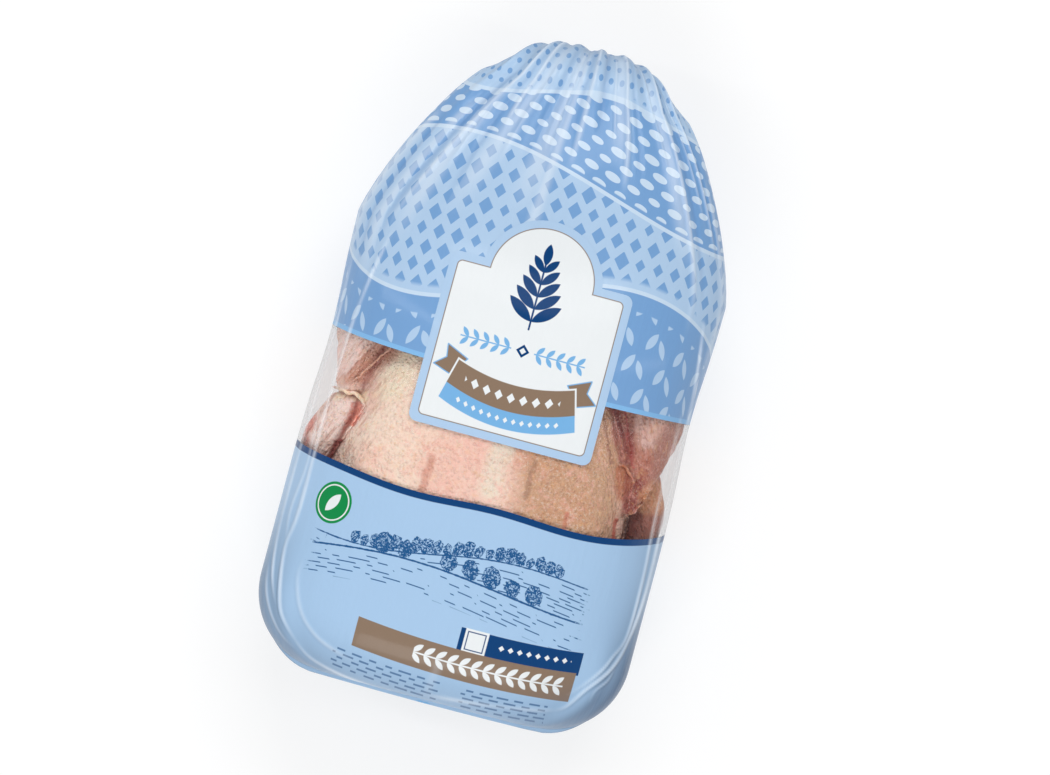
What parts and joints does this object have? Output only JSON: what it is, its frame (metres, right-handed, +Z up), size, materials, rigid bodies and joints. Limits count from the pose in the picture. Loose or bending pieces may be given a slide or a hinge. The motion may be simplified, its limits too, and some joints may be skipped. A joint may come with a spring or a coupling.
{
  "type": "packed whole raw chicken",
  "caption": "Whole raw chicken in a printed film bag with a clear window band, gathered and clipped at one end, lying on its back with the front up.",
  "frame": {"origin": "centre of the bounding box at the pack's lowest plane, on the surface it lies on", "axes": "+Y towards the gathered end, +X towards the pack's right side as seen on its front, +Z up out of the printed front"},
  "size_m": [0.1704, 0.3036, 0.1086],
  "materials": {
    "printed_film": "glossy printed film, light and mid blue",
    "metal_clip": "plain crimped wire band",
    "clear_film": "clear glossy film of the window band",
    "chicken_skin": "moist raw skin, pale cream to pink with fine pimples"
  },
  "bodies": {
    "root": {"bag": "printed_film", "clip": "metal_clip"}
  },
  "joints": []
}
